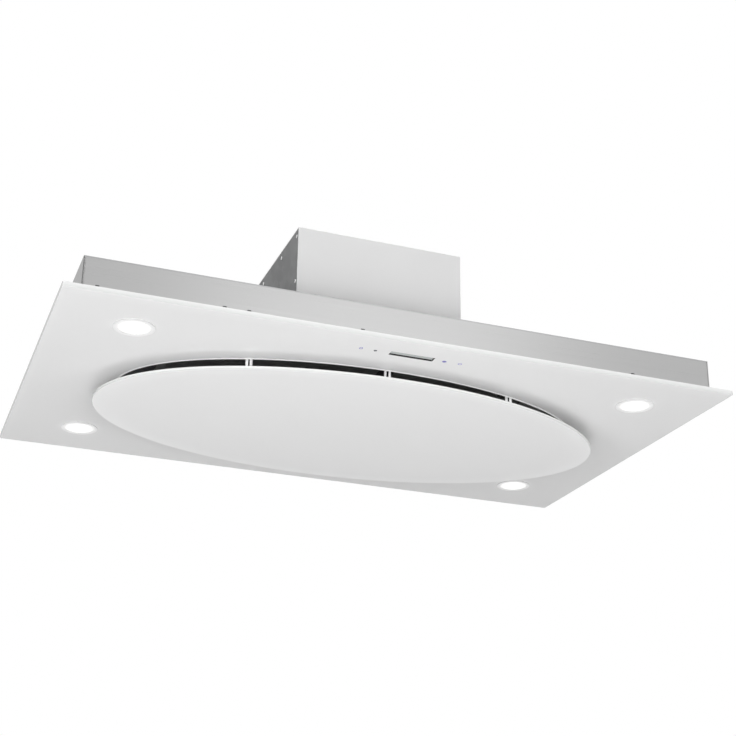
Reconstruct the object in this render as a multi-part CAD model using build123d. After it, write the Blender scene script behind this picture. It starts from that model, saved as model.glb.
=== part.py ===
"""Ceiling range hood with an oval cover disc, a body in the ceiling and a motor box on top.

Millimetres. +Z is up, +X is to the right seen from the front, the front looks towards -Y.
The origin is the centre of the four ceiling hanger holes, on the hangers' top faces.
Each sub-part is written to parts/NODE.step.
"""
import os
from math import cos, radians, sin, sqrt

from build123d import *

# ---------------------------------------------------------------- driving dimensions
# Glass panel: the wide plate that is seen from below
glass_width = 1200.0
glass_depth = 745.0
glass_thickness = 8.0
glass_corner_radius = 3.0
glass_edge_chamfer = 0.8

# Body that stands on the glass, inside the false ceiling; the rims are how far the glass stands out past it
side_rim = 32.0
front_rim = 25.0
body_height = 62.0
sheet = 1.5
corner_seam = 2.0
rail_leg = 14.0
rail_height = 20.0
rail_thickness = 2.0
rail_end_gap = 25.0

# Ceiling hangers
hanger_rise = 28.0
hanger_side_inset = 68.0
hanger_front_inset = 77.5
hanger_length = 44.0
hanger_foot = 24.0
hanger_flange = 30.0
hanger_thickness = 3.0
hanger_hole_radius = 4.5

# Oval opening in the glass and its trim
opening_side_inset = 155.6
opening_front_inset = 130.4
opening_back_inset = 158.4
trim_wall = 1.2
trim_lip = 2.0
trim_lip_thickness = 0.5
trim_clearance = 0.3

# Cover disc below the opening
disc_overlap_x = 38.9
disc_overlap_y = 39.9
disc_thickness = 5.0
disc_gap = 28.2
disc_edge_chamfer = 1.0
disc_frame_inset = 36.0
disc_frame_width = 70.0
disc_frame_thickness = 1.5
disc_bar_x = 118.0
disc_bar_width = 20.0

# Studs on the disc and the catches that hold their heads
stud_radius = 6.0
stud_neck_radius = 3.0
stud_head_radius = 5.0
stud_neck_length = 6.5
stud_foot_radius = 13.0
stud_foot_thickness = 2.0
stud_foot_clearance = 0.3
side_stud_inset = 197.4
side_stud_front_inset = 63.1
middle_stud_front_inset = 39.6
catch_clearance = 0.3
catch_swing_room = 3.3
catch_wall = 2.2
catch_flange = 3.5
catch_flange_thickness = 1.5
catch_stud_gap = 1.0

# Rear hinges of the disc
hinge_x = 150.0
hinge_reach = 16.9
hinge_drop = 18.0
hinge_pin_radius = 2.0
hinge_running_clearance = 0.05
hinge_eye_wall = 2.5
hinge_arm_thickness = 4.0
hinge_arm_depth = 12.0
hinge_arm_inset = 21.1
hinge_side_clearance = 0.5
hinge_ear_thickness = 3.0
hinge_leaf_depth = 26.0
hinge_leaf_width = 28.0
hinge_leaf_thickness = 1.5
hinge_foot_width = 30.0
hinge_foot_depth = 26.0
hinge_foot_thickness = 2.0

# Suction path above the glass
tray_rise = 10.0
collar_wall = 1.5
collar_inset = 1.0
plenum_margin_x = 7.6
plenum_margin_y = 5.9
plenum_corner = 90.0

# Grease filters, side by side in the tray
filter_names = ["left", "middle", "right"]
filter_row_inset = 59.4
filter_front_inset = 81.1
filter_back_inset = 54.1
filter_thickness = 10.0
filter_border = 12.0
filter_front_border = 28.0
filter_lip = 3.0
filter_lip_thickness = 1.2
filter_clearance = 1.0
filter_bar = 14.0
filter_tab_width = 30.0
filter_tab_reach = 6.0
filter_tab_thickness = 3.0
mesh_thickness = 7.0

# Sliding latch in the front border of each filter
latch_width = 40.0
latch_depth = 12.0
latch_thickness = 6.0
latch_travel = 8.0
latch_clearance = 0.4
latch_bolt_width = 28.0
latch_bolt_thickness = 3.0
latch_bolt_reach = 6.0
latch_grip = 2.0
latch_grip_width = 4.0

# Spot lamps in the corners of the glass
lamp_side_inset = 136.0
lamp_front_inset = 114.0
lamp_back_inset = 120.0
lamp_lens_radius = 28.4
lamp_lens_thickness = 2.0
lamp_lens_recess = 0.4
lamp_lens_gap = 0.1
lamp_bezel_wall = 2.0
lamp_bezel_flange = 4.0
lamp_bezel_thickness = 1.2
lamp_bezel_reach = 14.0
lamp_hole_clearance = 0.5
lamp_can_radius = 34.0
lamp_can_height = 38.0
lamp_can_wall = 1.5
lamp_board_thickness = 3.0
lamp_fin_height = 10.0
lamp_fin_thickness = 2.0
lamp_fins = 5

# Display window and touch board in the front strip of the glass
window_width = 80.0
window_depth = 15.0
window_corner_radius = 1.0
window_recess = 3.0
window_clearance = 0.2
controls_inset = 55.0
outer_key_x = 92.0
inner_key_x = 62.5
key_pad_radius = 5.0
display_border = 4.0
display_thickness = 6.0
board_length = 230.0
board_depth = 24.0
board_thickness = 1.6

# Clips on the seam between body and glass
clip_left_insets = [25.0, 231.0, 272.0, 468.0]
clip_right_inset = 158.0
clip_width = 6.0
clip_height = 13.5
clip_foot = 8.0
clip_thickness = 1.2

# Motor box
box_width = 322.0
box_depth = 324.0
box_height = 223.0
box_flange = 16.0
box_mouth_margin = 16.0
box_screw_inset = 8.0
box_screw_top = 15.5
box_screw_pitch = 91.0
box_screw_rows = 3
top_screw_y = 59.5
top_flange_end_gap = 20.0
screw_head_radius = 3.5
screw_head_height = 1.6
screw_radius = 1.5
screw_clearance = 0.1
screw_length = 6.0
spare_hole_offset = 2.1
spare_hole_drop = 3.6

# Blower
impeller_radius = 68.0
impeller_width = 110.0
impeller_ring = 12.0
impeller_ring_thickness = 2.0
blade_count = 32
blade_thickness = 0.9
blade_angle = 35.0
hub_disc_thickness = 2.0
hub_radius = 12.0
hub_length = 22.0
tongue_clearance = 6.0
scroll_growth = 29.0
tongue_angle = 65.0
scroll_side_clearance = 4.0
scroll_flange = 12.0
scroll_axis_drop = 115.0
inlet_radius = 58.0
inlet_ring_width = 12.0
inlet_lip = 1.5
inlet_lip_reach = 2.5

# Motor, carried in the rear inlet of the scroll
shaft_radius = 4.0
shaft_running_clearance = 0.05
bearing_radius = 9.0
bearing_width = 7.0
bearing_boss_wall = 2.5
motor_radius = 43.0
motor_wall = 2.0
motor_length = 70.0
motor_front_gap = 2.0
rotor_radius = 22.0
rotor_length = 40.0
rotor_gap = 0.6
shaft_tail = 4.0
bracket_thickness = 2.0
bracket_arm_width = 14.0
bracket_arms = 3
bracket_foot = 7.0
bracket_foot_radius = 80.0
capacitor_radius = 16.0
capacitor_length = 60.0
capacitor_height = 60.0

# Outlet collar with two backdraft flaps
duct_radius = 74.5
duct_wall = 1.5
duct_height = 40.0
duct_flange = 13.5
duct_flange_thickness = 2.0
gasket_thickness = 1.5
seat_width = 5.0
seat_thickness = 2.0
flap_thickness = 1.5
flap_seat_gap = 0.3
flap_edge_gap = 1.5
flap_pin_x = 4.5
flap_pin_radius = 1.5
flap_pin_clearance = 0.05
flap_knuckle_wall = 1.45
flap_knuckle_end_gap = 4.0

# Electronics at the right end of the body
tray_box_inset = 56.0
tray_box_width = 84.0
tray_box_depth = 240.0
tray_box_height = 42.0
tray_box_wall = 2.0
pcb_margin = 5.0
pcb_thickness = 1.6
pcb_height = 6.0
pcb_depth = 120.0
driver_width = 46.0
driver_depth = 70.0
driver_height = 24.0
driver_gap = 12.0
gland_y = 60.0
gland_bore_radius = 4.5
gland_radius = 9.0
gland_thread_radius = 8.0
gland_height = 20.0
gland_nut_radius = 12.0
gland_nut_height = 5.0

# ---------------------------------------------------------------- places and levels worked out from them
body_width = glass_width - 2 * side_rim
body_depth = glass_depth - 2 * front_rim
hanger_x = body_width / 2 - hanger_side_inset
hanger_y = body_depth / 2 - hanger_front_inset
lamp_x = glass_width / 2 - lamp_side_inset
lamp_front_y = lamp_front_inset - glass_depth / 2
lamp_back_y = glass_depth / 2 - lamp_back_inset
controls_y = controls_inset - glass_depth / 2
tray_box_x = body_width / 2 - tray_box_inset
opening_half_x = glass_width / 2 - opening_side_inset
opening_half_y = (glass_depth - opening_front_inset - opening_back_inset) / 2
opening_y = (opening_front_inset - opening_back_inset) / 2
disc_half_x = opening_half_x + disc_overlap_x
disc_half_y = opening_half_y + disc_overlap_y
plenum_half_x = opening_half_x + plenum_margin_x
plenum_half_y = opening_half_y + plenum_margin_y
side_stud_x = opening_half_x - side_stud_inset
side_stud_back = opening_half_y - side_stud_front_inset
middle_stud_back = opening_half_y - middle_stud_front_inset
hinge_back = opening_half_y + hinge_reach
hinge_arm_back = opening_half_y - hinge_arm_inset
filter_count = len(filter_names)
filter_spacing = 2 * filter_clearance + filter_bar
filter_width = (2 * (opening_half_x - filter_row_inset) - (filter_count - 1) * filter_spacing) / filter_count
filter_front = opening_half_y - filter_front_inset
filter_depth = 2 * opening_half_y - filter_front_inset - filter_back_inset
body_top_z = -hanger_rise
body_inner_top_z = body_top_z - sheet
ceiling_z = body_top_z - body_height
glass_bottom_z = ceiling_z - glass_thickness
tray_z = ceiling_z + tray_rise
tray_top_z = tray_z + sheet
disc_top_z = glass_bottom_z - disc_gap
disc_bottom_z = disc_top_z - disc_thickness
hinge_y = opening_y + hinge_back
hinge_z = glass_bottom_z - hinge_drop
body_front_y = -body_depth / 2
body_inner_front_y = body_front_y + sheet
box_top_z = body_top_z + box_height
box_inner_top_z = box_top_z - sheet
filter_pitch = filter_width + filter_spacing
filter_front_y = opening_y - filter_front
scroll_axis_z = box_inner_top_z - scroll_axis_drop
scroll_start_radius = impeller_radius + tongue_clearance
scroll_end_radius = scroll_start_radius + scroll_growth
tongue_x = scroll_start_radius * cos(radians(tongue_angle))
outlet_width = scroll_end_radius - tongue_x
scroll_axis_x = -(scroll_end_radius + tongue_x) / 2
scroll_half_y = impeller_width / 2 + scroll_side_clearance
cheek_y = scroll_half_y + sheet
motor_front_y = hub_length / 2 + motor_front_gap
motor_back_y = motor_front_y + motor_length
collar_base_z = box_top_z + gasket_thickness
seat_z = collar_base_z + duct_flange_thickness
flap_z = seat_z + seat_thickness + flap_seat_gap
flap_knuckle_radius = flap_pin_radius + flap_pin_clearance + flap_knuckle_wall
flap_axis_z = flap_z + flap_knuckle_radius


# ---------------------------------------------------------------- small helpers
def slab(x_low, x_high, y_low, y_high, z_low, z_high):
    """A box given by its limits."""
    size = (x_high - x_low, y_high - y_low, z_high - z_low)
    middle = ((x_low + x_high) / 2, (y_low + y_high) / 2, (z_low + z_high) / 2)
    return Pos(*middle) * Box(*size)


def upright(radius, z_low, z_high, x=0.0, y=0.0):
    """A cylinder along Z."""
    return Pos(x, y, (z_low + z_high) / 2) * Cylinder(radius, z_high - z_low)


def along_y(radius, y_low, y_high, x=0.0, z=0.0):
    """A cylinder along Y."""
    return Pos(x, (y_low + y_high) / 2, z) * Rot(90, 0, 0) * Cylinder(radius, y_high - y_low)


def along_x(radius, x_low, x_high, y=0.0, z=0.0):
    """A cylinder along X."""
    return Pos((x_low + x_high) / 2, y, z) * Rot(0, 90, 0) * Cylinder(radius, x_high - x_low)


def oval(half_x, half_y, z_low, z_high):
    """An elliptical plate centred on the opening."""
    return Pos(0, opening_y, z_low) * extrude(Ellipse(half_x, half_y), amount=z_high - z_low)


def group(pieces):
    """Several separate solids in one node."""
    return Compound(children=[solid for piece in pieces for solid in piece.solids()])


def mirrored_x(piece):
    return mirror(piece, about=Plane.YZ)


def mirrored_y(piece):
    return mirror(piece, about=Plane.XZ)


# ---------------------------------------------------------------- glass panel
def lamp_places():
    return [(x, y) for y in (lamp_front_y, lamp_back_y) for x in (-lamp_x, lamp_x)]


lamp_tube_radius = lamp_lens_radius + lamp_lens_gap + lamp_bezel_wall


def glass_panel():
    plate = slab(-glass_width / 2, glass_width / 2, -glass_depth / 2, glass_depth / 2, glass_bottom_z, ceiling_z)
    plate = fillet(plate.edges().filter_by(Axis.Z), glass_corner_radius)
    plate = chamfer(plate.faces().sort_by(Axis.Z)[0].edges(), glass_edge_chamfer)
    hole_growth = trim_wall + trim_clearance
    plate -= oval(opening_half_x + hole_growth, opening_half_y + hole_growth, glass_bottom_z, ceiling_z)
    for x, y in lamp_places():
        plate -= upright(lamp_tube_radius + lamp_hole_clearance, glass_bottom_z, ceiling_z, x, y)
    slot = extrude(RectangleRounded(window_width, window_depth, window_corner_radius), amount=glass_thickness)
    return plate - Pos(0, controls_y, glass_bottom_z) * slot


def opening_trim():
    """Bright ring: a wall through the glass and a narrow lip under it."""
    outer_x = opening_half_x + trim_wall
    outer_y = opening_half_y + trim_wall
    lip = oval(outer_x + trim_lip, outer_y + trim_lip, glass_bottom_z - trim_lip_thickness, glass_bottom_z)
    wall = oval(outer_x, outer_y, glass_bottom_z, ceiling_z)
    hole = oval(opening_half_x, opening_half_y, glass_bottom_z - trim_lip_thickness, ceiling_z)
    return lip + wall - hole


# ---------------------------------------------------------------- body
def body_front():
    half_x = body_width / 2 - sheet - corner_seam
    return slab(-half_x, half_x, body_front_y, body_inner_front_y, ceiling_z, body_inner_top_z)


def body_end(side):
    """End cap with short flanges that turn in behind the front and rear skins."""
    outer = side * body_width / 2
    inner = outer - side * sheet
    plate = slab(min(outer, inner), max(outer, inner), body_front_y, -body_front_y, ceiling_z, body_inner_top_z)
    flange_end = inner - side * box_flange
    flange = slab(min(inner, flange_end), max(inner, flange_end), body_inner_front_y,
                  body_inner_front_y + sheet, ceiling_z + rail_height, body_inner_top_z)
    return plate + flange + mirrored_y(flange)


def body_top():
    plate = slab(-body_width / 2, body_width / 2, body_front_y, -body_front_y, body_inner_top_z, body_top_z)
    mouth_x = box_width / 2 - box_mouth_margin
    mouth_y = box_depth / 2 - box_mouth_margin
    plate -= slab(-mouth_x, mouth_x, -mouth_y, mouth_y, body_inner_top_z, body_top_z)
    return plate - upright(gland_thread_radius, body_inner_top_z, body_top_z, tray_box_x, gland_y)


def glass_rails():
    half_x = body_width / 2 - rail_end_gap
    leg = slab(-half_x, half_x, body_inner_front_y, body_inner_front_y + rail_leg, ceiling_z, ceiling_z + rail_thickness)
    back = slab(-half_x, half_x, body_inner_front_y, body_inner_front_y + rail_thickness,
                ceiling_z, ceiling_z + rail_height)
    rail = leg + back
    return group([rail, mirrored_y(rail)])


def front_edge_clips():
    clips = []
    places = [inset - body_width / 2 for inset in clip_left_insets] + [body_width / 2 - clip_right_inset]
    for x in places:
        blade = slab(x - clip_width / 2, x + clip_width / 2, body_front_y - clip_thickness, body_front_y,
                     ceiling_z, ceiling_z + clip_height)
        foot = slab(x - clip_width / 2, x + clip_width / 2, body_front_y - clip_foot, body_front_y,
                    ceiling_z, ceiling_z + clip_thickness)
        clips.append(blade + foot)
    return group(clips)


def ceiling_hangers():
    """Z-shaped brackets; a rod passes through each top flange with a nut on either side."""
    half = hanger_length / 2
    riser_y = hanger_flange / 2
    flange = slab(-half, half, -hanger_flange / 2, riser_y, -hanger_thickness, 0)
    riser = slab(-half, half, riser_y, riser_y + hanger_thickness, body_top_z, 0)
    foot = slab(-half, half, riser_y, riser_y + hanger_foot, body_top_z, body_top_z + hanger_thickness)
    bracket = flange + riser + foot - upright(hanger_hole_radius, -hanger_thickness, 0)
    front = [Pos(x, -hanger_y, 0) * bracket for x in (-hanger_x, hanger_x)]
    return group(front + [mirrored_y(piece) for piece in front])


# ---------------------------------------------------------------- suction path
def suction_collar():
    """Oval wall that closes the way between the glass and the tray."""
    inner_x = opening_half_x + collar_inset
    inner_y = opening_half_y + collar_inset
    wall = oval(inner_x + collar_wall, inner_y + collar_wall, ceiling_z, tray_z)
    return wall - oval(inner_x, inner_y, ceiling_z, tray_z)


def plenum_corners(margin):
    """Corners of the tray's plan: a rectangle with cut corners, grown by a margin."""
    half_x = plenum_half_x + margin
    half_y = plenum_half_y + margin
    short_x = half_x - plenum_corner
    short_y = half_y - plenum_corner
    return [(half_x, -short_y), (half_x, short_y), (short_x, half_y), (-short_x, half_y),
            (-half_x, short_y), (-half_x, -short_y), (-short_x, -half_y), (short_x, -half_y)]


def prism(points, z_low, z_high):
    """A plate with straight edges, given by the corners of its plan."""
    return Pos(0, opening_y, z_low) * extrude(make_face(Polyline(*points, close=True)), amount=z_high - z_low)


def filter_centres():
    first = -(filter_count - 1) / 2 * filter_pitch
    return [first + index * filter_pitch for index in range(filter_count)]


def stud_places():
    side_y = opening_y - side_stud_back
    return [(-side_stud_x, side_y), (0.0, opening_y - middle_stud_back), (side_stud_x, side_y)]


def catch_block_limits(x, y, clearance):
    """Limits in X and Y of the part of a catch that stands in the tray."""
    half_x = stud_head_radius + catch_clearance + catch_wall + clearance
    front = stud_head_radius + catch_swing_room + catch_wall + clearance
    return x - half_x, x + half_x, y - front, y + half_x


def filter_tray():
    plate = prism(plenum_corners(0), tray_z, tray_top_z)
    half_x = filter_width / 2 + filter_clearance
    front = filter_front_y - filter_clearance
    back = filter_front_y + filter_depth + filter_clearance
    for x in filter_centres():
        plate -= slab(x - half_x, x + half_x, front, back, tray_z, tray_top_z)
    for x, y in stud_places():
        plate -= slab(*catch_block_limits(x, y, catch_clearance), tray_z, tray_top_z)
    return plate


def plenum_wall():
    """Eight flat sheets that meet at mitred corners."""
    outer = plenum_corners(0)
    inner = plenum_corners(-sheet)
    sheets = []
    for index in range(len(outer)):
        after = (index + 1) % len(outer)
        plan = [outer[index], outer[after], inner[after], inner[index]]
        sheets.append(prism(plan, tray_top_z, body_inner_top_z))
    return group(sheets)


# ---------------------------------------------------------------- grease filters
def latch_limits():
    """Y of the latch's front face at rest, and Z of its underside."""
    return filter_front_y + (filter_front_border - latch_depth - latch_travel) / 2, tray_z + latch_clearance


def filter_frame(x):
    half = filter_width / 2
    back = filter_front_y + filter_depth
    top = tray_z + filter_thickness
    frame = slab(x - half, x + half, filter_front_y, back, tray_z, top)
    window_front = filter_front_y + filter_front_border
    window_back = back - filter_border
    window_half = half - filter_border
    frame -= slab(x - window_half, x + window_half, window_front, window_back, tray_z + filter_lip_thickness, top)
    frame -= slab(x - window_half + filter_lip, x + window_half - filter_lip,
                  window_front + filter_lip, window_back - filter_lip, tray_z, top)
    latch_y, latch_z = latch_limits()
    room_x = latch_width / 2 + latch_clearance
    latch_top = latch_z + latch_thickness + latch_clearance
    frame -= slab(x - room_x, x + room_x, latch_y - latch_clearance,
                  latch_y + latch_depth + latch_travel + latch_clearance, tray_z, latch_top)
    bolt_x = latch_bolt_width / 2 + latch_clearance
    bolt_z = tray_top_z + latch_clearance
    frame -= slab(x - bolt_x, x + bolt_x, filter_front_y, latch_y, bolt_z - latch_clearance,
                  bolt_z + latch_bolt_thickness + latch_clearance)
    for side in (-1, 1):
        middle = x + side * (half - filter_tab_width)
        frame += slab(middle - filter_tab_width / 2, middle + filter_tab_width / 2, back,
                      back + filter_tab_reach, tray_top_z, tray_top_z + filter_tab_thickness)
    return frame


def filter_meshes():
    pads = []
    for x in filter_centres():
        half = filter_width / 2 - filter_border
        base = tray_z + filter_lip_thickness
        pads.append(slab(x - half, x + half, filter_front_y + filter_front_border,
                         filter_front_y + filter_depth - filter_border, base, base + mesh_thickness))
    return group(pads)


def filter_latch(x):
    """Thumb slider whose bolt rests on the tray's front edge."""
    latch_y, latch_z = latch_limits()
    half = latch_width / 2
    slider = slab(x - half, x + half, latch_y, latch_y + latch_depth, latch_z, latch_z + latch_thickness)
    bolt_z = tray_top_z + latch_clearance
    slider += slab(x - latch_bolt_width / 2, x + latch_bolt_width / 2, filter_front_y - latch_bolt_reach,
                   latch_y, bolt_z, bolt_z + latch_bolt_thickness)
    grip_y = latch_y + (latch_depth - latch_grip_width) / 2
    slider += slab(x - half, x + half, grip_y, grip_y + latch_grip_width, latch_z - latch_grip, latch_z)
    return slider


# ---------------------------------------------------------------- cover disc
def cover_disc():
    disc = oval(disc_half_x, disc_half_y, disc_bottom_z, disc_top_z)
    return chamfer(disc.faces().filter_by(Axis.Z).edges(), disc_edge_chamfer)


def disc_frame():
    outer_x = disc_half_x - disc_frame_inset
    outer_y = disc_half_y - disc_frame_inset
    top = disc_top_z + disc_frame_thickness
    ring = oval(outer_x, outer_y, disc_top_z, top)
    ring -= oval(outer_x - disc_frame_width, outer_y - disc_frame_width, disc_top_z, top)
    reach = (outer_y - disc_frame_width / 2) * sqrt(1 - (disc_bar_x / outer_x) ** 2)
    for side in (-1, 1):
        bar_x = side * disc_bar_x
        ring += slab(bar_x - disc_bar_width / 2, bar_x + disc_bar_width / 2,
                     opening_y - reach, opening_y + reach, disc_top_z, top)
    for x, y in stud_places():
        ring -= upright(stud_foot_radius + stud_foot_clearance, disc_top_z, top, x, y)
    return ring


stud_shoulder_z = tray_z - catch_flange_thickness - catch_stud_gap
stud_head_z = stud_shoulder_z + stud_neck_length + stud_head_radius


def disc_studs():
    studs = []
    for x, y in stud_places():
        stud = upright(stud_foot_radius, disc_top_z, disc_top_z + stud_foot_thickness, x, y)
        stud += upright(stud_radius, disc_top_z, stud_shoulder_z, x, y)
        stud += upright(stud_neck_radius, stud_shoulder_z, stud_head_z, x, y)
        stud += Pos(x, y, stud_head_z) * Sphere(stud_head_radius)
        studs.append(stud)
    return group(studs)


def stud_catches():
    """Moulded sockets in the tray, long enough to let the heads swing out."""
    catches = []
    top = stud_head_z + stud_head_radius + catch_swing_room
    base = tray_z - catch_flange_thickness
    for x, y in stud_places():
        catch = slab(*catch_block_limits(x, y, 0), base, top)
        catch += slab(*catch_block_limits(x, y, catch_flange), base, tray_z)
        room = stud_head_radius + catch_clearance
        catch -= slab(x - room, x + room, y - stud_head_radius - catch_swing_room, y + room,
                      base, top - catch_wall)
        catches.append(catch)
    return group(catches)


hinge_eye_radius = hinge_pin_radius + hinge_eye_wall


def hinge_brackets():
    """Hooked arms: down through the opening, then back under the glass to the pivot."""
    brackets = []
    arm_back_y = opening_y + hinge_arm_back
    arm_front_y = arm_back_y - hinge_arm_depth
    half = hinge_arm_thickness / 2
    for x in (-hinge_x, hinge_x):
        foot_z = tray_z - hinge_foot_thickness
        bracket = slab(x - hinge_foot_width / 2, x + hinge_foot_width / 2, arm_back_y - hinge_foot_depth,
                       arm_back_y, foot_z, tray_z)
        bracket += slab(x - half, x + half, arm_front_y, arm_back_y, hinge_z - hinge_eye_radius, tray_z)
        bracket += slab(x - half, x + half, arm_back_y, hinge_y, hinge_z - hinge_eye_radius,
                        hinge_z + hinge_eye_radius)
        bracket += along_x(hinge_eye_radius, x - half, x + half, hinge_y, hinge_z)
        bracket -= along_x(hinge_pin_radius + hinge_running_clearance, x - half, x + half, hinge_y, hinge_z)
        brackets.append(bracket)
    return group(brackets)


hinge_ear_x = hinge_arm_thickness / 2 + hinge_side_clearance


def hinge_leaves():
    """Leaves bonded to the disc, each with two ears that hold the pin."""
    leaves = []
    for x in (-hinge_x, hinge_x):
        back = hinge_y + hinge_eye_radius
        leaf = slab(x - hinge_leaf_width / 2, x + hinge_leaf_width / 2, back - hinge_leaf_depth, back,
                    disc_top_z, disc_top_z + hinge_leaf_thickness)
        for side in (-1, 1):
            near = x + side * hinge_ear_x
            far = near + side * hinge_ear_thickness
            low, high = min(near, far), max(near, far)
            leaf += along_x(hinge_eye_radius, low, high, hinge_y, hinge_z)
            leaf += slab(low, high, hinge_y - hinge_eye_radius, hinge_y + hinge_eye_radius, disc_top_z, hinge_z)
        reach = hinge_ear_x + hinge_ear_thickness
        leaves.append(leaf - along_x(hinge_pin_radius, x - reach, x + reach, hinge_y, hinge_z))
    return group(leaves)


def hinge_pins():
    reach = hinge_ear_x + hinge_ear_thickness
    return group([along_x(hinge_pin_radius, x - reach, x + reach, hinge_y, hinge_z) for x in (-hinge_x, hinge_x)])


# ---------------------------------------------------------------- spot lamps
def lamp_bezels():
    bezels = []
    base = glass_bottom_z - lamp_bezel_thickness
    bore = lamp_lens_radius + lamp_lens_gap
    for x, y in lamp_places():
        bezel = upright(lamp_tube_radius + lamp_bezel_flange, base, glass_bottom_z, x, y)
        bezel += upright(lamp_tube_radius, glass_bottom_z, glass_bottom_z + lamp_bezel_reach, x, y)
        bezels.append(bezel - upright(bore, base, glass_bottom_z + lamp_bezel_reach, x, y))
    return group(bezels)


def lamp_lenses():
    base = glass_bottom_z - lamp_bezel_thickness + lamp_lens_recess
    return group([upright(lamp_lens_radius, base, base + lamp_lens_thickness, x, y) for x, y in lamp_places()])


def lamp_housings():
    """Cans on top of the glass, with cooling fins."""
    cans = []
    top = ceiling_z + lamp_can_height
    for x, y in lamp_places():
        can = upright(lamp_can_radius, ceiling_z, top, x, y)
        can -= upright(lamp_can_radius - lamp_can_wall, ceiling_z, top - lamp_can_wall, x, y)
        pitch = 2 * lamp_can_radius / (lamp_fins + 1)
        for index in range(lamp_fins):
            fin_x = -lamp_can_radius + pitch * (index + 1)
            half_y = sqrt(lamp_can_radius**2 - fin_x**2) - lamp_can_wall
            can += slab(x + fin_x - lamp_fin_thickness / 2, x + fin_x + lamp_fin_thickness / 2,
                        y - half_y, y + half_y, top, top + lamp_fin_height)
        cans.append(can)
    return group(cans)


def lamp_boards():
    top = ceiling_z + lamp_can_height - lamp_can_wall
    radius = lamp_can_radius - lamp_can_wall
    return group([upright(radius, top - lamp_board_thickness, top, x, y) for x, y in lamp_places()])


# ---------------------------------------------------------------- display and touch board
def display_window():
    width = window_width - 2 * window_clearance
    depth = window_depth - 2 * window_clearance
    lens = extrude(RectangleRounded(width, depth, window_corner_radius), amount=glass_thickness - window_recess)
    return Pos(0, controls_y, glass_bottom_z + window_recess) * lens


def touch_board():
    """Board with the display under its middle and a sensor pad down to the glass at each key."""
    base = ceiling_z + display_thickness
    half_x = window_width / 2 + display_border
    half_y = window_depth / 2 + display_border
    board = slab(-board_length / 2, board_length / 2, controls_y - board_depth / 2, controls_y + board_depth / 2,
                 base, base + board_thickness)
    for x in (-outer_key_x, -inner_key_x, inner_key_x, outer_key_x):
        board += upright(key_pad_radius, ceiling_z, base, x, controls_y)
    return board + slab(-half_x, half_x, controls_y - half_y, controls_y + half_y, ceiling_z, base)


# ---------------------------------------------------------------- motor box
def box_screw_heights():
    return [box_top_z - box_screw_top - row * box_screw_pitch for row in range(box_screw_rows)]


def box_screw_places():
    """Y and Z of the screws in each side plate."""
    corner_y = box_depth / 2 - box_screw_inset
    places = [(side * corner_y, z) for side in (-1, 1) for z in box_screw_heights()]
    return places + [(side * top_screw_y, box_top_z - box_screw_top) for side in (-1, 1)]


def screw_holes():
    """Bars through both side plates that cut every screw hole."""
    reach = box_width / 2
    return [along_x(screw_radius + screw_clearance, -reach, reach, y, z) for y, z in box_screw_places()]


def box_front():
    """Front panel that laps the side plates' edges, with flanges turned back inside them."""
    half_x = box_width / 2
    front = -box_depth / 2
    panel = slab(-half_x, half_x, front, front + sheet, body_top_z, box_inner_top_z)
    for side in (-1, 1):
        outer = side * (half_x - sheet)
        inner = outer - side * sheet
        panel += slab(min(outer, inner), max(outer, inner), front + sheet, front + sheet + box_flange,
                      body_top_z, box_inner_top_z)
    for hole in screw_holes():
        panel -= hole
    return panel


def box_side(side):
    outer = side * box_width / 2
    inner = outer - side * sheet
    half_y = box_depth / 2 - sheet
    plate = slab(min(outer, inner), max(outer, inner), -half_y, half_y, body_top_z, box_inner_top_z)
    for hole in screw_holes():
        plate -= hole
    spare_z = box_top_z - box_screw_top - spare_hole_drop
    for row in (-1, 1):
        spare_y = row * (top_screw_y - spare_hole_offset)
        plate -= along_x(screw_radius, min(outer, inner), max(outer, inner), spare_y, spare_z)
    return plate


def box_top():
    half_x = box_width / 2
    half_y = box_depth / 2
    plate = slab(-half_x, half_x, -half_y, half_y, box_inner_top_z, box_top_z)
    plate -= slab(-outlet_width / 2, outlet_width / 2, -scroll_half_y, scroll_half_y, box_inner_top_z, box_top_z)
    flange_y = half_y - sheet - top_flange_end_gap
    for side in (-1, 1):
        outer = side * (half_x - sheet)
        inner = outer - side * sheet
        flange = slab(min(outer, inner), max(outer, inner), -flange_y, flange_y,
                      box_inner_top_z - 2 * box_screw_top + sheet, box_inner_top_z)
        plate += flange
    for y in (-top_screw_y, top_screw_y):
        plate -= along_x(screw_radius + screw_clearance, -half_x, half_x, y, box_top_z - box_screw_top)
    return plate


def box_screws():
    screws = []
    face = box_width / 2
    for y, z in box_screw_places():
        screw = along_x(screw_head_radius, face, face + screw_head_height, y, z)
        screw = chamfer(screw.faces().sort_by(Axis.X)[-1].edges(), screw_head_height / 2)
        screw += along_x(screw_radius, face - screw_length, face, y, z)
        screws += [screw, mirrored_x(screw)]
    return group(screws)


# ---------------------------------------------------------------- blower scroll
def scroll_plan(wall):
    """The spiral chamber and its outlet in the XZ plane, grown outwards by a wall."""
    def spiral_point(angle):
        share = (angle - tongue_angle) / (360 - tongue_angle)
        radius = scroll_start_radius + scroll_growth * share + wall
        return radius * cos(radians(angle)), radius * sin(radians(angle))

    steps = 12
    points = [spiral_point(tongue_angle + (360 - tongue_angle) * index / steps) for index in range(steps + 1)]
    edges = Spline(*points) + Line(points[-1], (0, 0)) + Line((0, 0), points[0])
    plan = make_face(edges) + Circle(scroll_start_radius + wall)
    low_x = tongue_x - wall
    high_x = scroll_end_radius + wall
    outlet = Pos((low_x + high_x) / 2, scroll_axis_drop / 2) * Rectangle(high_x - low_x, scroll_axis_drop)
    return plan + outlet


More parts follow.
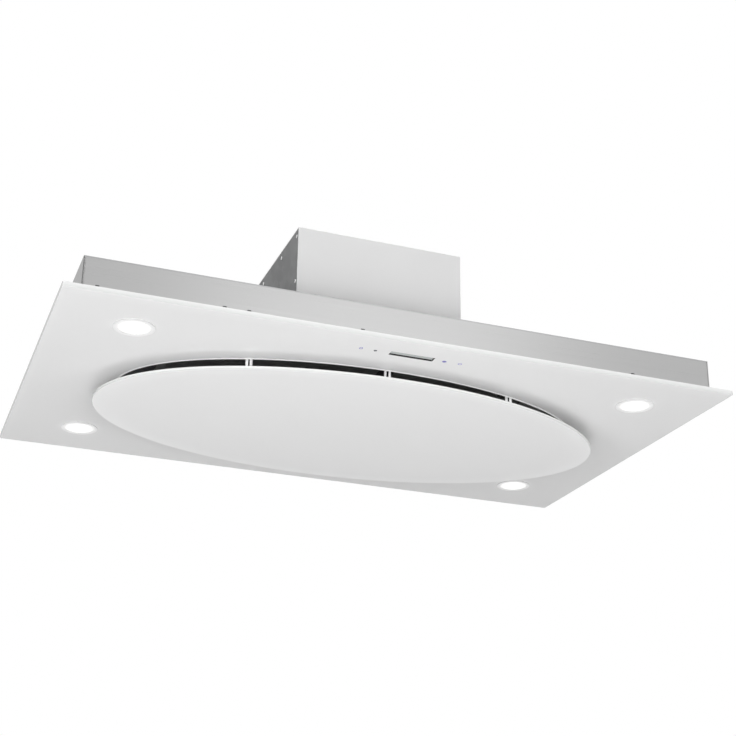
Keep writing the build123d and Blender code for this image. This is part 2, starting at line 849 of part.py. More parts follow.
def scroll_solid(wall, half_y):
    place = Plane(origin=(scroll_axis_x, 0, scroll_axis_z), x_dir=(1, 0, 0), z_dir=(0, -1, 0))
    return extrude(place * scroll_plan(wall), amount=half_y, both=True)


def scroll_wrapper():
    wrapper = scroll_solid(sheet, scroll_half_y) - scroll_solid(0, scroll_half_y)
    half_x = outlet_width / 2
    flange = slab(-half_x - scroll_flange, half_x + scroll_flange, -scroll_half_y, scroll_half_y,
                  box_inner_top_z - sheet, box_inner_top_z)
    flange -= slab(-half_x, half_x, -scroll_half_y, scroll_half_y, box_inner_top_z - sheet, box_inner_top_z)
    return wrapper + flange


def scroll_cheeks():
    cheeks = scroll_solid(sheet, cheek_y) - scroll_solid(sheet, scroll_half_y)
    return group([cheeks - along_y(inlet_radius, -cheek_y, cheek_y, scroll_axis_x, scroll_axis_z)])


def inlet_rings():
    """Bell-mouth rings: a flat flange on the cheek and a lip that turns in to the impeller."""
    flange = along_y(inlet_radius + inlet_ring_width, cheek_y, cheek_y + sheet, scroll_axis_x, scroll_axis_z)
    lip_end = scroll_half_y - inlet_lip_reach
    flange += along_y(inlet_radius, lip_end, cheek_y, scroll_axis_x, scroll_axis_z)
    ring = flange - along_y(inlet_radius - inlet_lip, lip_end, cheek_y + sheet, scroll_axis_x, scroll_axis_z)
    return group([ring, mirrored_y(ring)])


def impeller():
    """Double-inlet drum: a middle disc on the hub, two end rings and the blades crimped between them."""
    inner = impeller_radius - impeller_ring
    hub_half = hub_length / 2
    disc_half = hub_disc_thickness / 2
    blade_end = impeller_width / 2 - impeller_ring_thickness
    middle = along_y(impeller_radius, -disc_half, disc_half) + along_y(hub_radius, -hub_half, hub_half)
    middle -= along_y(shaft_radius, -hub_half, hub_half)
    ring = along_y(impeller_radius, blade_end, impeller_width / 2) - along_y(inner, blade_end, impeller_width / 2)
    blade = Pos(inner + impeller_ring / 2, (disc_half + blade_end) / 2, 0) * Rot(0, blade_angle, 0) * Box(
        impeller_ring, blade_end - disc_half, blade_thickness)
    row = [Rot(0, 360 / blade_count * index, 0) * blade for index in range(blade_count)]
    drum = group([middle, ring, mirrored_y(ring)] + row + [mirrored_y(blade) for blade in row])
    return Pos(scroll_axis_x, 0, scroll_axis_z) * drum


# ---------------------------------------------------------------- motor
def at_motor(piece):
    return Pos(scroll_axis_x, 0, scroll_axis_z) * piece


def motor_shaft():
    return at_motor(along_y(shaft_radius, -hub_length / 2, motor_back_y + shaft_tail))


rotor_front_y = (motor_front_y + motor_back_y - rotor_length) / 2


def motor_rotor():
    rotor = along_y(rotor_radius, rotor_front_y, rotor_front_y + rotor_length)
    return at_motor(rotor - along_y(shaft_radius, rotor_front_y, rotor_front_y + rotor_length))


def motor_stator():
    stator = along_y(motor_radius - motor_wall, rotor_front_y, rotor_front_y + rotor_length)
    return at_motor(stator - along_y(rotor_radius + rotor_gap, rotor_front_y, rotor_front_y + rotor_length))


def bearing_boss(y_low, y_high):
    return along_y(bearing_radius + bearing_boss_wall, y_low, y_high)


def motor_housing():
    """Cup, closed at the impeller end around the front bearing."""
    can = along_y(motor_radius, motor_front_y, motor_back_y - motor_wall)
    can -= along_y(motor_radius - motor_wall, motor_front_y + motor_wall, motor_back_y - motor_wall)
    can += bearing_boss(motor_front_y, motor_front_y + bearing_width)
    return at_motor(can - along_y(bearing_radius, motor_front_y, motor_front_y + bearing_width))


def motor_end_cap():
    cap = along_y(motor_radius, motor_back_y - motor_wall, motor_back_y)
    cap += bearing_boss(motor_back_y - bearing_width, motor_back_y)
    return at_motor(cap - along_y(bearing_radius, motor_back_y - bearing_width, motor_back_y))


def motor_bearings():
    bearings = []
    for low in (motor_front_y, motor_back_y - bearing_width):
        ring = along_y(bearing_radius, low, low + bearing_width)
        ring -= along_y(shaft_radius + shaft_running_clearance, low, low + bearing_width)
        bearings.append(at_motor(ring))
    return group(bearings)


def motor_bracket():
    """Plate behind the motor with arms that stand on the rear cheek."""
    high = motor_back_y + bracket_thickness
    plate = along_y(motor_radius, motor_back_y, high) - along_y(bearing_radius, motor_back_y, high)
    half = bracket_arm_width / 2
    for index in range(bracket_arms):
        arm = slab(bearing_radius + bearing_boss_wall, bracket_foot_radius, motor_back_y, high, -half, half)
        arm += slab(bracket_foot_radius - bracket_foot, bracket_foot_radius, cheek_y, high, -half, half)
        plate += Rot(0, 90 + 360 / bracket_arms * index, 0) * arm
    return at_motor(plate)


def run_capacitor():
    x = box_width / 2 - sheet - capacitor_radius
    y = -box_depth / 2 + sheet + box_flange + capacitor_radius
    low = body_top_z + capacitor_height
    return upright(capacitor_radius, low, low + capacitor_length, x, y)


# ---------------------------------------------------------------- outlet
duct_bore = duct_radius - duct_wall


def outlet_collar():
    top = collar_base_z + duct_height
    collar = upright(duct_radius + duct_flange, collar_base_z, seat_z)
    collar += upright(duct_radius, collar_base_z, top)
    collar -= upright(duct_bore, collar_base_z, top)
    seat = upright(duct_bore, seat_z, seat_z + seat_thickness)
    collar += seat - upright(duct_bore - seat_width, seat_z, seat_z + seat_thickness)
    for x in (-flap_pin_x, flap_pin_x):
        collar -= along_y(flap_pin_radius, -duct_radius, duct_radius, x, flap_axis_z)
    return collar


def collar_gasket():
    ring = upright(duct_radius + duct_flange, box_top_z, collar_base_z)
    return ring - upright(duct_bore, box_top_z, collar_base_z)


def flap(side):
    """Half disc on a knuckle tube, lying on the collar's seat."""
    radius = duct_bore - flap_edge_gap
    plate = upright(radius, flap_z, flap_z + flap_thickness)
    plate &= slab(flap_pin_x, radius, -radius, radius, flap_z, flap_z + flap_thickness)
    half_y = duct_bore - flap_knuckle_end_gap
    plate += along_y(flap_knuckle_radius, -half_y, half_y, flap_pin_x, flap_axis_z)
    plate -= along_y(flap_pin_radius + flap_pin_clearance, -duct_bore, duct_bore, flap_pin_x, flap_axis_z)
    return plate if side > 0 else mirrored_x(plate)


def flap_pins():
    half_y = sqrt(duct_radius**2 - (flap_pin_x + flap_pin_radius) ** 2)
    return group([along_y(flap_pin_radius, -half_y, half_y, x, flap_axis_z) for x in (-flap_pin_x, flap_pin_x)])


# ---------------------------------------------------------------- electronics
tray_floor_z = body_inner_top_z - tray_box_height


def electronics_tray():
    half_x = tray_box_width / 2
    half_y = tray_box_depth / 2
    tray = slab(tray_box_x - half_x, tray_box_x + half_x, -half_y, half_y, tray_floor_z, body_inner_top_z)
    tray -= slab(tray_box_x - half_x + tray_box_wall, tray_box_x + half_x - tray_box_wall,
                 -half_y + tray_box_wall, half_y - tray_box_wall, tray_floor_z + tray_box_wall, body_inner_top_z)
    return tray


def control_board():
    """Board on four feet in the front half of the tray."""
    half_x = tray_box_width / 2 - tray_box_wall - pcb_margin
    front = -tray_box_depth / 2 + tray_box_wall + pcb_margin
    floor = tray_floor_z + tray_box_wall
    board = slab(tray_box_x - half_x, tray_box_x + half_x, front, front + pcb_depth,
                 floor + pcb_height, floor + pcb_height + pcb_thickness)
    for x in (tray_box_x - half_x + pcb_margin, tray_box_x + half_x - pcb_margin):
        for y in (front + pcb_margin, front + pcb_depth - pcb_margin):
            board += upright(pcb_margin / 2, floor, floor + pcb_height, x, y)
    return board


def lamp_driver():
    back = tray_box_depth / 2 - tray_box_wall - driver_gap
    floor = tray_floor_z + tray_box_wall
    return slab(tray_box_x - driver_width / 2, tray_box_x + driver_width / 2, back - driver_depth, back,
                floor, floor + driver_height)


def cable_gland():
    """Inlet for the mains lead, screwed into the body's top plate."""
    low = body_inner_top_z - gland_nut_height
    high = body_top_z + gland_height
    gland = upright(gland_thread_radius, low, body_top_z, tray_box_x, gland_y)
    gland += upright(gland_radius, body_top_z, high, tray_box_x, gland_y)
    gland += upright(gland_nut_radius, body_top_z, body_top_z + gland_nut_height, tray_box_x, gland_y)
    gland += upright(gland_nut_radius, low, body_inner_top_z, tray_box_x, gland_y)
    return gland - upright(gland_bore_radius, low, high, tray_box_x, gland_y)


# ---------------------------------------------------------------- the nodes
def build_nodes():
    nodes = {
        "glass_panel": glass_panel(),
        "opening_trim": opening_trim(),
        "body_front": body_front(),
        "body_rear": mirrored_y(body_front()),
        "body_end_left": body_end(-1),
        "body_end_right": body_end(1),
        "body_top": body_top(),
        "glass_rails": glass_rails(),
        "front_edge_clips": front_edge_clips(),
        "ceiling_hangers": ceiling_hangers(),
        "suction_collar": suction_collar(),
        "filter_tray": filter_tray(),
        "plenum_wall": plenum_wall(),
        "filter_meshes": filter_meshes(),
        "cover_disc": cover_disc(),
        "disc_frame": disc_frame(),
        "disc_studs": disc_studs(),
        "stud_catches": stud_catches(),
        "hinge_brackets": hinge_brackets(),
        "hinge_leaves": hinge_leaves(),
        "hinge_pins": hinge_pins(),
        "lamp_bezels": lamp_bezels(),
        "lamp_lenses": lamp_lenses(),
        "lamp_housings": lamp_housings(),
        "lamp_boards": lamp_boards(),
        "display_window": display_window(),
        "touch_board": touch_board(),
        "box_front": box_front(),
        "box_rear": mirrored_y(box_front()),
        "box_side_left": box_side(-1),
        "box_side_right": box_side(1),
        "box_top": box_top(),
        "box_screws": box_screws(),
        "scroll_wrapper": scroll_wrapper(),
        "scroll_cheeks": scroll_cheeks(),
        "inlet_rings": inlet_rings(),
        "impeller": impeller(),
        "motor_shaft": motor_shaft(),
        "motor_rotor": motor_rotor(),
        "motor_stator": motor_stator(),
        "motor_housing": motor_housing(),
        "motor_end_cap": motor_end_cap(),
        "motor_bearings": motor_bearings(),
        "motor_bracket": motor_bracket(),
        "run_capacitor": run_capacitor(),
        "outlet_collar": outlet_collar(),
        "collar_gasket": collar_gasket(),
        "flap_left": flap(-1),
        "flap_right": flap(1),
        "flap_pins": flap_pins(),
        "electronics_tray": electronics_tray(),
        "control_board": control_board(),
        "lamp_driver": lamp_driver(),
        "cable_gland": cable_gland(),
    }
    for name, x in zip(filter_names, filter_centres()):
        nodes[f"filter_{name}"] = filter_frame(x)
        nodes[f"latch_{name}"] = filter_latch(x)
    return nodes


if __name__ == "__main__":
    os.makedirs("parts", exist_ok=True)
    for name, piece in build_nodes().items():
        export_step(piece, f"parts/{name}.step")
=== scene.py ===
"""Looks, light and camera for the ceiling range hood. Metres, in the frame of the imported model."""
from math import cos, pi, radians, sin

import bmesh
import bpy
from mathutils import Matrix, Vector

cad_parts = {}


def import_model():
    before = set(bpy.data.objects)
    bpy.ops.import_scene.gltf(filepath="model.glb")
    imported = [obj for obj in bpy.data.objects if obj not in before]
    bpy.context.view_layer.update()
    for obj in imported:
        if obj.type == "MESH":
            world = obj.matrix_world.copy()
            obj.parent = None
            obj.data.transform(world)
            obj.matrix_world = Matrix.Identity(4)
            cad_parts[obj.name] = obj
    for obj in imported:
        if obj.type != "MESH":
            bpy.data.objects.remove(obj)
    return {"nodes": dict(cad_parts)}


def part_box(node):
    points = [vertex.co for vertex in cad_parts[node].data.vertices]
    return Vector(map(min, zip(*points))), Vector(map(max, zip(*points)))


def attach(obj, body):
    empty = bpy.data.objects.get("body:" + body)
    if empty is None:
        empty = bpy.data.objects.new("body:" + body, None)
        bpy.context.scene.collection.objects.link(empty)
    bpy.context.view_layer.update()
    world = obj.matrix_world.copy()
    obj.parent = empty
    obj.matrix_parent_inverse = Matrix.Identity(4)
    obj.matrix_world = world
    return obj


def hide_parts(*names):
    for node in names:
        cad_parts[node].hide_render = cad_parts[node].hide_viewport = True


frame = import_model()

bpy.context.view_layer.update()
NODES = frame["nodes"]
SCENE = bpy.context.scene
SCENE.view_settings.view_transform = "Standard"

# ---------------------------------------------------------------- places taken from the frame
MM = 0.001
GLASS_LOW, GLASS_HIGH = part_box("glass_panel")
TRAY_LOW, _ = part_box("filter_tray")
OPEN_LOW, OPEN_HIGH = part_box("suction_collar")
OPEN_MIDDLE = (OPEN_LOW + OPEN_HIGH) / 2
WINDOW_LOW, WINDOW_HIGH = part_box("display_window")
LAMP_LOW, LAMP_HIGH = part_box("lamp_lenses")
LENS_RADIUS = 28.4 * MM
STUD_X = 247 * MM
STUD_FOOT_RADIUS = 13 * MM


def stud_places():
    """Middles of the disc's three studs in the XY plane, from left to right."""
    low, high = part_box("disc_studs")
    side_y = high.y - STUD_FOOT_RADIUS
    return (-STUD_X, side_y), (0.0, low.y + STUD_FOOT_RADIUS), (STUD_X, side_y)


# ---------------------------------------------------------------- camera
LENS = 70.93
EYE = Vector((-0.8458, -2.4174, -1.0635))
YAW = 0.3502
PITCH = 0.3949
ROLL = 0.0149


def aim_camera():
    """Sets the camera by its place, heading, pitch and roll."""
    forward = Vector((sin(YAW) * cos(PITCH), cos(YAW) * cos(PITCH), sin(PITCH)))
    level = Vector((cos(YAW), -sin(YAW), 0.0))
    rise = level.cross(forward)
    right = cos(ROLL) * level + sin(ROLL) * rise
    up = cos(ROLL) * rise - sin(ROLL) * level
    data = bpy.data.cameras.new("view")
    data.lens = LENS
    data.sensor_width = 36.0
    data.clip_start = 0.05
    data.clip_end = 100.0
    camera = bpy.data.objects.new("view", data)
    camera.matrix_world = Matrix((
        (right.x, up.x, -forward.x, EYE.x),
        (right.y, up.y, -forward.y, EYE.y),
        (right.z, up.z, -forward.z, EYE.z),
        (0.0, 0.0, 0.0, 1.0)))
    SCENE.collection.objects.link(camera)
    SCENE.camera = camera


aim_camera()


# ---------------------------------------------------------------- shader helpers
class Graph:
    """A node tree with short calls that add and join its nodes."""

    def __init__(self, tree):
        self.tree = tree

    def add(self, kind, **settings):
        node = self.tree.nodes.new(kind)
        for key, value in settings.items():
            setattr(node, key, value)
        return node

    def feed(self, socket, value):
        """Joins a socket, or sets it where the value is a plain number or colour."""
        if isinstance(value, bpy.types.NodeSocket):
            self.tree.links.new(value, socket)
        else:
            socket.default_value = value

    def feed_all(self, node, **values):
        """Feeds a node's sockets by name, with _ for a space."""
        for name, value in values.items():
            self.feed(node.inputs[name.replace("_", " ")], value)

    def math(self, operation, first, second=0.0):
        node = self.add("ShaderNodeMath", operation=operation)
        self.feed(node.inputs[0], first)
        self.feed(node.inputs[1], second)
        return node.outputs[0]

    def vector(self, operation, first, second=(0.0, 0.0, 0.0), scale=1.0):
        node = self.add("ShaderNodeVectorMath", operation=operation)
        self.feed(node.inputs[0], first)
        self.feed(node.inputs[1], second)
        if operation == "SCALE":
            self.feed(node.inputs["Scale"], scale)
        return node.outputs["Value" if operation in ("LENGTH", "DISTANCE") else "Vector"]

    def split(self, vector):
        node = self.add("ShaderNodeSeparateXYZ")
        self.feed(node.inputs[0], vector)
        return node.outputs

    def join(self, x, y, z):
        node = self.add("ShaderNodeCombineXYZ")
        for socket, value in zip(node.inputs, (x, y, z)):
            self.feed(socket, value)
        return node.outputs[0]

    def place(self, scale=(1.0, 1.0, 1.0)):
        """Object coordinates in metres, scaled."""
        coordinates = self.add("ShaderNodeTexCoord").outputs["Object"]
        return self.vector("MULTIPLY", coordinates, scale)

    def noise(self, vector, scale, detail=2.0, roughness=0.5):
        node = self.add("ShaderNodeTexNoise")
        self.feed_all(node, Vector=vector, Scale=scale, Detail=detail, Roughness=roughness)
        return node.outputs["Fac"]

    def wave(self, vector, direction, scale, **shape):
        node = self.add("ShaderNodeTexWave", bands_direction=direction)
        self.feed_all(node, Vector=vector, Scale=scale, **shape)
        return node.outputs["Fac"]

    def cells(self, vector, scale):
        """One random number for each cell of a Voronoi pattern."""
        node = self.add("ShaderNodeTexVoronoi")
        self.feed_all(node, Vector=vector, Scale=scale)
        return self.split(node.outputs["Color"])[0]

    def remap(self, value, low, high, to_low, to_high):
        node = self.add("ShaderNodeMapRange")
        for socket, number in zip(node.inputs, (value, low, high, to_low, to_high)):
            self.feed(socket, number)
        return node.outputs["Result"]

    def blend(self, share, first, second):
        node = self.add("ShaderNodeMix", data_type="RGBA")
        self.feed_all(node, Factor=share, A=first, B=second)
        return node.outputs["Result"]

    def bump(self, height, distance, strength):
        node = self.add("ShaderNodeBump")
        self.feed_all(node, Height=height, Distance=distance, Strength=strength)
        return node.outputs["Normal"]

    def facing(self, axis):
        """How squarely a face looks along one of the piece's own axes, from 0 to 1."""
        normal = self.add("ShaderNodeTexCoord").outputs["Normal"]
        return self.math("ABSOLUTE", self.split(normal)[axis])

    def seen(self):
        """1 for rays from the camera, off a mirror or through glass, and 0 for all others."""
        path = self.add("ShaderNodeLightPath").outputs
        mirrored = self.math("MAXIMUM", path["Is Glossy Ray"], path["Is Transmission Ray"])
        return self.math("MAXIMUM", path["Is Camera Ray"], mirrored)


WHITE = (1.0, 1.0, 1.0)


def shade(level, tint=WHITE):
    """A colour with a level and a tint."""
    return tuple(level * part for part in tint) + (1.0,)


class Finish(Graph):
    """A material with one Principled shader, whose constants are set on its own sockets."""

    def __init__(self, name, **constants):
        self.name = name
        self.material = bpy.data.materials.new(name)
        self.material.use_nodes = True
        super().__init__(self.material.node_tree)
        self.shader = self.tree.nodes["Principled BSDF"]
        for key, value in constants.items():
            self.set(key.replace("_", " ").title().replace("Ior", "IOR"), value)

    def set(self, name, value):
        self.feed(self.shader.inputs[name], value)

    def vary(self, value, low, high):
        """Base colour that runs between two colours with a number from 0 to 1."""
        self.set("Base Color", self.blend(value, low, high))

    def darken(self, share):
        """Multiplies the base colour that is already joined."""
        tone = self.shader.inputs["Base Color"].links[0].from_socket
        self.set("Base Color", self.vector("SCALE", tone, scale=share))

    def glow(self, strength, tint=WHITE):
        self.set("Emission Color", shade(1.0, tint))
        self.set("Emission Strength", strength)

    def rough(self, value, low, high):
        self.set("Roughness", self.remap(value, 0.2, 0.8, low, high))

    def normal(self, height, distance, strength):
        self.set("Normal", self.bump(height, distance, strength))


# ---------------------------------------------------------------- finishes
# Painted glow round the lamps and along the rims of the glass, and painted shade along the glass's far rims,
# on the bezel walls and at the steel's foot and top bend.
HALO_REACH = 34 * MM
HALO_LEVEL = 0.155
HALO_FALL = 4.5
RIM_REACH = 36 * MM
RIM_FALL = 2.0
PANEL_RIM_GLOW = 0.03
DISC_RIM_GLOW = 0.048
PAINTED_SHADE_WIDTH = 4 * MM
PAINTED_SHADE_LEVEL = 0.8
BEZEL_WALL_SHADE = 0.55
FOOT_REACH = 8 * MM
FOOT_SHADE = 0.9
TOP_BEND_REACH = 2 * MM
TOP_BEND_SHADE = 0.88
EDGE_TINT = (0.985, 1.0, 0.99)
ZINC_TINT = (0.99, 1.0, 1.01)
LAMP_TINT = (1.0, 0.995, 0.985)


def edge_share(finish):
    """1 on the faces that stand upright in the piece's own axes, 0 on flat ones."""
    return finish.remap(finish.facing(2), 0.8, 0.97, 1.0, 0.0)


def white_glass(name, node, face, edge, glow):
    """Clear glass painted white on its back, with painted shade towards the lower side of its upright edges
    and a painted glow on them.

    Returns the finish and the strength of that painted glow, which the caller adds to its own.
    """
    finish = Finish(name, roughness=0.35, ior=1.5, coat_weight=0.5, coat_roughness=0.015, coat_ior=1.5,
                    specular_ior_level=0.0)
    cloud = finish.noise(finish.place(), 6.0, 3.0)
    face_tone = finish.blend(cloud, shade(face * 0.994), shade(face * 1.006))
    low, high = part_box(node)
    # Painted shade: the upright edges darken towards their lower side, and their painted glow weakens there.
    height = finish.remap(finish.split(finish.place())[2], low.z, high.z, 0.85, 1.1)
    edge_tone = finish.blend(height, shade(edge * 0.2, EDGE_TINT), shade(edge, EDGE_TINT))
    upright = edge_share(finish)
    finish.set("Base Color", finish.blend(upright, face_tone, edge_tone))
    speck = finish.noise(finish.place(), 900.0, 2.0)
    finish.rough(speck, 0.3, 0.4)
    # Painted glow on the upright edges, stronger on those that face front or back.
    share = finish.remap(finish.facing(1), 0.0, 1.0, 0.5, 1.0)
    glowing_edges = finish.math("MULTIPLY", upright, height)
    return finish, finish.math("MULTIPLY", glowing_edges, finish.math("MULTIPLY", share, glow))


def lamp_halo(finish):
    """Distance to the nearest lamp's middle, and the strength of a painted glow round it."""
    x, y, _ = finish.split(finish.place())
    side = finish.math("ABSOLUTE", x)
    spots = []
    for lamp_y in (LAMP_LOW.y + LENS_RADIUS, LAMP_HIGH.y - LENS_RADIUS):
        centre = (LAMP_HIGH.x - LENS_RADIUS, lamp_y, 0.0)
        spots.append(finish.vector("DISTANCE", finish.join(side, y, 0.0), centre))
    away = finish.math("MINIMUM", *spots)
    fade = finish.remap(away, LENS_RADIUS, LENS_RADIUS + HALO_REACH, 1.0, 0.0)
    return away, finish.math("MULTIPLY", finish.math("POWER", fade, HALO_FALL), HALO_LEVEL)


def panel_glass():
    """The panel has a painted glow along its front and left rims and round each lamp, and a band of painted
    shade along its other rims.
    """
    finish, painted_edge_light = white_glass("panel_glass", "glass_panel", 0.81, 0.42, 0.36)
    x, y, _ = finish.split(finish.place())
    near = finish.math("MINIMUM", finish.math("SUBTRACT", x, GLASS_LOW.x),
                       finish.math("SUBTRACT", y, GLASS_LOW.y))
    far = finish.math("MINIMUM", finish.math("SUBTRACT", GLASS_HIGH.x, x),
                      finish.math("SUBTRACT", GLASS_HIGH.y, y))
    # Painted shade in a band along the right and rear rims.
    finish.darken(finish.remap(far, 0.0, PAINTED_SHADE_WIDTH, PAINTED_SHADE_LEVEL, 1.0))
    # Painted glow along the front and left rims, and round each lamp.
    rim = finish.math("POWER", finish.remap(near, 0.0, RIM_REACH, 1.0, 0.0), RIM_FALL)
    _, halo = lamp_halo(finish)
    light = finish.math("ADD", halo, finish.math("MULTIPLY", rim, PANEL_RIM_GLOW))
    finish.glow(finish.math("ADD", light, painted_edge_light))
    return finish


def disc_glass():
    """The cover disc has a painted glow along its rim."""
    finish, painted_edge_light = white_glass("disc_glass", "cover_disc", 0.855, 0.5, 0.22)
    low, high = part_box("cover_disc")
    middle, half = (low + high) / 2, (high - low) / 2
    x, y, _ = finish.split(finish.place())
    across = finish.math("DIVIDE", x, half.x)
    along = finish.math("DIVIDE", finish.math("SUBTRACT", y, middle.y), half.y)
    oval = finish.vector("LENGTH", finish.join(across, along, 0.0))
    # Painted glow along the disc's rim.
    rim = finish.math("POWER", finish.remap(oval, 1 - RIM_REACH / half.y, 1.0, 0.0, 1.0), RIM_FALL)
    finish.glow(finish.math("ADD", painted_edge_light, finish.math("MULTIPLY", rim, DISC_RIM_GLOW)))
    return finish


def brushed(name, tone, axis):
    """Stainless sheet with fine lines along one axis."""
    finish = Finish(name, metallic=1.0, anisotropic=0.75, anisotropic_rotation=0.25)
    along = [1400.0, 1400.0, 1400.0]
    along["xyz".index(axis)] = 2.5
    lines = finish.noise(finish.place(along), 1.0, 3.0, 0.6)
    broad = [60.0, 60.0, 60.0]
    broad["xyz".index(axis)] = 1.5
    bands = finish.noise(finish.place(broad), 1.0, 2.0)
    both = finish.math("ADD", finish.math("MULTIPLY", lines, 0.65), finish.math("MULTIPLY", bands, 0.35))
    finish.vary(both, shade(tone * 0.95), shade(tone * 1.05))
    finish.rough(lines, 0.25, 0.37)
    finish.normal(lines, 0.02 * MM, 0.3)
    return finish


def front_steel(name):
    """The body's front sheet has painted shade at its foot, where it meets the glass, and along its top bend.
    """
    finish = brushed(name, 0.475, "x")
    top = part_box("body_front")[1].z
    z = finish.split(finish.place())[2]
    # Painted shade where the sheet meets the glass and along its top bend.
    foot = finish.remap(z, GLASS_HIGH.z, GLASS_HIGH.z + FOOT_REACH, FOOT_SHADE, 1.0)
    bend = finish.remap(z, top - TOP_BEND_REACH, top, 1.0, TOP_BEND_SHADE)
    finish.darken(finish.math("MULTIPLY", foot, bend))
    return finish


def zinc(name, tone, spangle=70.0, metallic=0.85, roughness=0.38):
    """Hot-dip zinc sheet: flat crystals, each with its own tone."""
    finish = Finish(name, metallic=metallic)
    grain = finish.noise(finish.place(), spangle * 1.5, 2.0)
    bent = finish.vector("ADD", finish.place(), finish.join(finish.math("MULTIPLY", grain, 0.012), 0.0, 0.0))
    crystal = finish.cells(bent, spangle)
    fine = finish.noise(finish.place(), 700.0, 2.0)
    mix = finish.math("ADD", finish.math("MULTIPLY", crystal, 0.7), finish.math("MULTIPLY", fine, 0.3))
    finish.vary(mix, shade(tone * 0.88, ZINC_TINT), shade(tone * 1.10, ZINC_TINT))
    finish.rough(mix, roughness - 0.07, roughness + 0.08)
    finish.normal(fine, 0.02 * MM, 0.3)
    return finish


def painted(name, tone, roughness=0.45):
    """Powder coat: an even colour with orange peel."""
    finish = Finish(name, ior=1.5)
    peel = finish.noise(finish.place(), 650.0, 3.0)
    cloud = finish.noise(finish.place(), 9.0, 2.0)
    finish.vary(cloud, shade(tone * 0.975), shade(tone * 1.025))
    finish.rough(peel, roughness - 0.05, roughness + 0.05)
    finish.normal(peel, 0.04 * MM, 0.5)
    return finish


def moulded(name, tone, tint=WHITE, roughness=0.5):
    """Spark-eroded moulding texture on plastic."""
    finish = Finish(name, ior=1.46)
    grain = finish.noise(finish.place(), 1500.0, 4.0, 0.65)
    cloud = finish.noise(finish.place(), 25.0, 2.0)
    finish.vary(cloud, shade(tone * 0.93, tint), shade(tone * 1.07, tint))
    finish.rough(grain, roughness - 0.08, roughness + 0.1)
    finish.normal(grain, 0.05 * MM, 0.5)
    return finish


def polished(name, tone, roughness):
    """Bright metal with faint polishing lines."""
    finish = Finish(name, metallic=1.0)
    lines = finish.noise(finish.place((900.0, 900.0, 90.0)), 1.0, 2.0)
    finish.vary(lines, shade(tone * 0.97), shade(tone * 1.03))
    finish.rough(lines, roughness, roughness * 1.8)
    finish.normal(lines, 0.01 * MM, 0.2)
    return finish


def satin_with_painted_glow(name, tone):
    """Satin chrome, soft enough to take the light of the room as well as its mirror image, with a painted
    glow on top.
    """
    finish = polished(name, tone, 0.12)
    finish.set("Metallic", 0.2)
    # Painted glow that brightens the chrome.
    finish.glow(0.4)
    return finish


def cast(name, tone, roughness=0.5):
    """Die-cast or pressed aluminium with a dull, slightly grainy skin."""
    finish = Finish(name, metallic=0.9)
    grain = finish.noise(finish.place(), 1100.0, 4.0, 0.6)
    cloud = finish.noise(finish.place(), 40.0, 3.0)
    finish.vary(cloud, shade(tone * 0.9), shade(tone * 1.08))
    finish.rough(grain, roughness - 0.08, roughness + 0.1)
    finish.normal(grain, 0.06 * MM, 0.5)
    return finish


def turned(name, tone, roughness=0.25):
    """Ground steel with fine rings round the Y axis."""
    finish = Finish(name, metallic=1.0, anisotropic=0.3)
    rings = finish.noise(finish.place((30.0, 2500.0, 30.0)), 1.0, 2.0)
    finish.vary(rings, shade(tone * 0.92), shade(tone * 1.08))
    finish.rough(rings, roughness - 0.05, roughness + 0.08)
    finish.normal(rings, 0.02 * MM, 0.3)
    return finish


def laminated(name, tone):
    """Stack of thin core plates, seen edge on."""
    finish = Finish(name, metallic=0.7)
    sheets = finish.wave(finish.place(), "Y", 320.0)
    finish.vary(sheets, shade(tone * 0.6), shade(tone * 1.1))
    finish.rough(sheets, 0.4, 0.6)
    finish.normal(sheets, 0.1 * MM, 0.6)
    return finish


def layered_mesh(name, tone):
    """Knitted wire layers behind the expanded metal of a grease filter."""
    finish = Finish(name, metallic=0.8)
    layers = [finish.wave(finish.place((side, 1.0, 0.0)), "DIAGONAL", 130.0, Distortion=1.2, Detail_Scale=2.0)
              for side in (1.0, -1.0)]
    wires = finish.math("MAXIMUM", *layers)
    finish.vary(wires, shade(tone * 0.25), shade(tone * 1.2))
    finish.rough(wires, 0.6, 0.4)
    finish.normal(wires, 0.6 * MM, 0.9)
    return finish


def board(name, tint):
    """Coated circuit board with tracks and pads as a faint relief."""
    finish = Finish(name, ior=1.5, coat_weight=0.4, coat_roughness=0.2)
    tracks = finish.cells(finish.place((1.0, 1.0, 0.2)), 260.0)
    fine = finish.noise(finish.place(), 900.0, 2.0)
    finish.vary(tracks, shade(0.8, tint), shade(1.2, tint))
    finish.rough(fine, 0.35, 0.5)
    finish.normal(tracks, 0.05 * MM, 0.4)
    return finish


def foam(name, tone):
    """Closed-cell foam with fine pores."""
    finish = Finish(name, ior=1.4)
    pores = finish.cells(finish.place(), 1400.0)
    finish.vary(pores, shade(tone * 0.6), shade(tone * 1.2))
    finish.rough(pores, 0.85, 0.95)
    finish.normal(pores, 0.2 * MM, 0.7)
    return finish


def trim_with_painted_glow(name):
    """White lacquered ring with a painted glow that stands in for the light in the glass."""
    finish = painted(name, 0.8, 0.3)
    # Painted glow.
    finish.glow(0.16)
    return finish


def lit_lens(name):
    """Frosted lens with the lamp on: brightest in the middle, softer at the rim."""
    finish = Finish(name, base_color=shade(0.35), ior=1.5)
    away, _ = lamp_halo(finish)
    finish.glow(finish.remap(away, LENS_RADIUS * 0.55, LENS_RADIUS, 1.0, 0.55), LAMP_TINT)
    prisms = finish.cells(finish.place((1.0, 1.0, 0.0)), 420.0)
    finish.rough(prisms, 0.25, 0.4)
    finish.normal(prisms, 0.1 * MM, 0.4)
    return finish


def rim_with_painted_glow(name):
    """White plastic bezel with painted shade on its upright walls and a painted glow from its lamp."""
    finish = moulded(name, 0.8, roughness=0.4)
    # Painted shade on the upright walls.
    finish.darken(finish.remap(edge_share(finish), 0.0, 1.0, 1.0, BEZEL_WALL_SHADE))
    # Painted glow from the lamp.
    _, halo = lamp_halo(finish)
    finish.glow(halo)
    return finish


